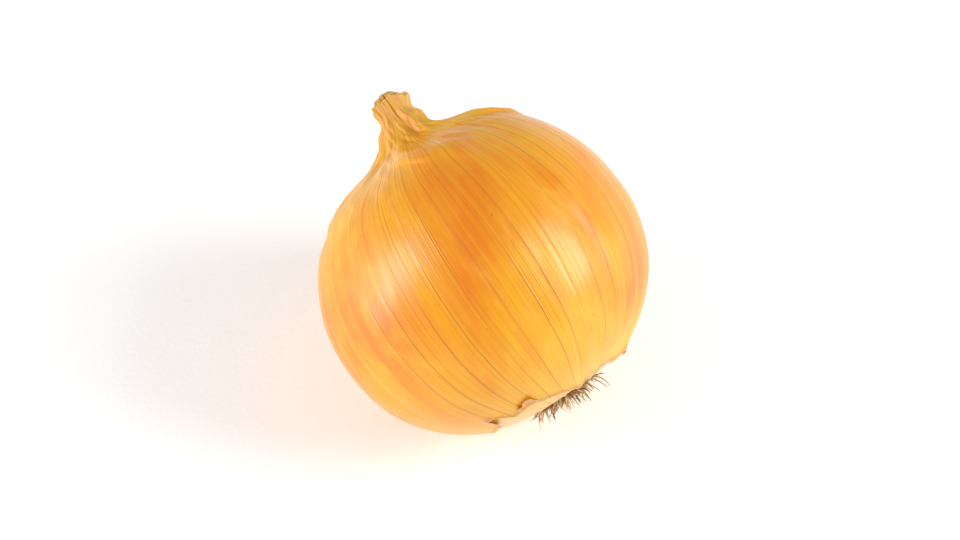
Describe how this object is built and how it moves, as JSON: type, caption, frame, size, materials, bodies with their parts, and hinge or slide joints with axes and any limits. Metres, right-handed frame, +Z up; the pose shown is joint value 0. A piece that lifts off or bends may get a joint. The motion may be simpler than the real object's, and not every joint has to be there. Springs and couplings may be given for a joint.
{
  "type": "onion",
  "caption": "Whole dry yellow bulb onion with its dried, cut neck and its tuft of trimmed roots, lying on its side on a small flat spot.",
  "frame": {"origin": "middle of the small flat spot that the onion rests on, under its lower flank", "axes": "+Z up, away from the surface it rests on; the growth axis lies over the X axis, its neck towards -X and 32 degrees above the horizontal, its root plate towards +X and downwards; +Y completes a right-handed frame"},
  "size_m": [0.0812, 0.0825, 0.0804],
  "materials": {
    "onion_skin": "satin",
    "dry_neck": "matte",
    "dry_roots": "matte"
  },
  "bodies": {
    "root": {"onion": "onion_skin"}
  },
  "joints": []
}
